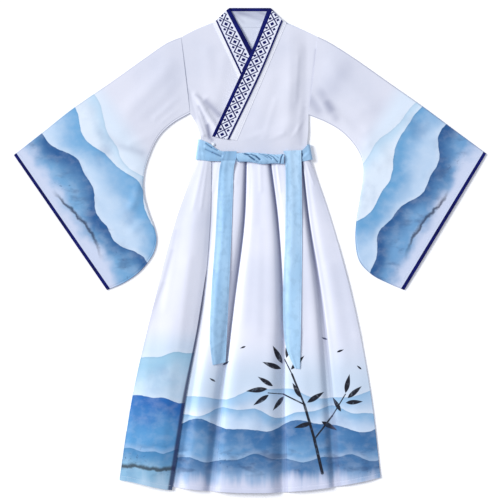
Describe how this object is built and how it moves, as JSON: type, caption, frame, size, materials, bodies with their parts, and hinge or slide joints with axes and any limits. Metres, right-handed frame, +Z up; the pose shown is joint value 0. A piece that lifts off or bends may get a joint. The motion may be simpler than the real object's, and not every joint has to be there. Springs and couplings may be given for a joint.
{
  "type": "cross-collar robe with pleated skirt and sash",
  "caption": "A wrap-front robe laid flat, with a crossed collar, wide curved sleeves, a pleated skirt with a lapped side panel and a twisted sash with hanging ends.",
  "frame": {"origin": "middle of the robe's footprint on the surface that it lies on", "axes": "+X to the wearer's left, +Y from hem to neck, +Z up from the surface, so the robe's front faces up"},
  "size_m": [1.308, 1.342, 0.02],
  "materials": {
    "white_cloth": "matte plain-weave chiffon over satin, white",
    "sleeve_print": "white cloth with a blue wave print towards the cuff",
    "skirt_print": "white cloth with a blue misty wave print towards the hem",
    "white_band": "white interlined collar band",
    "woven_ribbon": "white jacquard ribbon with a navy lattice of lozenges",
    "navy_binding": "navy satin binding",
    "blue_satin": "light blue soft satin",
    "snap": "pale translucent plastic"
  },
  "bodies": {
    "root": {"bodice_back": "white_cloth", "front_under": "white_cloth", "front_over": "white_cloth", "snap_cap": "snap", "sleeve_right": "sleeve_print", "sleeve_left": "sleeve_print", "cuff_right": "navy_binding", "cuff_left": "navy_binding", "collar_over": "white_band", "collar_under": "white_band", "collar_back": "white_band", "ribbon_over": "woven_ribbon", "ribbon_under": "woven_ribbon", "ribbon_back": "woven_ribbon", "piping_over": "navy_binding", "piping_under": "navy_binding", "piping_back": "navy_binding", "skirt_back": "skirt_print", "skirt_front": "skirt_print", "skirt_side": "skirt_print", "sash_back": "blue_satin", "sash_right": "blue_satin", "sash_left": "blue_satin", "sash_twist": "blue_satin", "sash_tail_right": "blue_satin", "sash_tail_left": "blue_satin"}
  },
  "joints": []
}
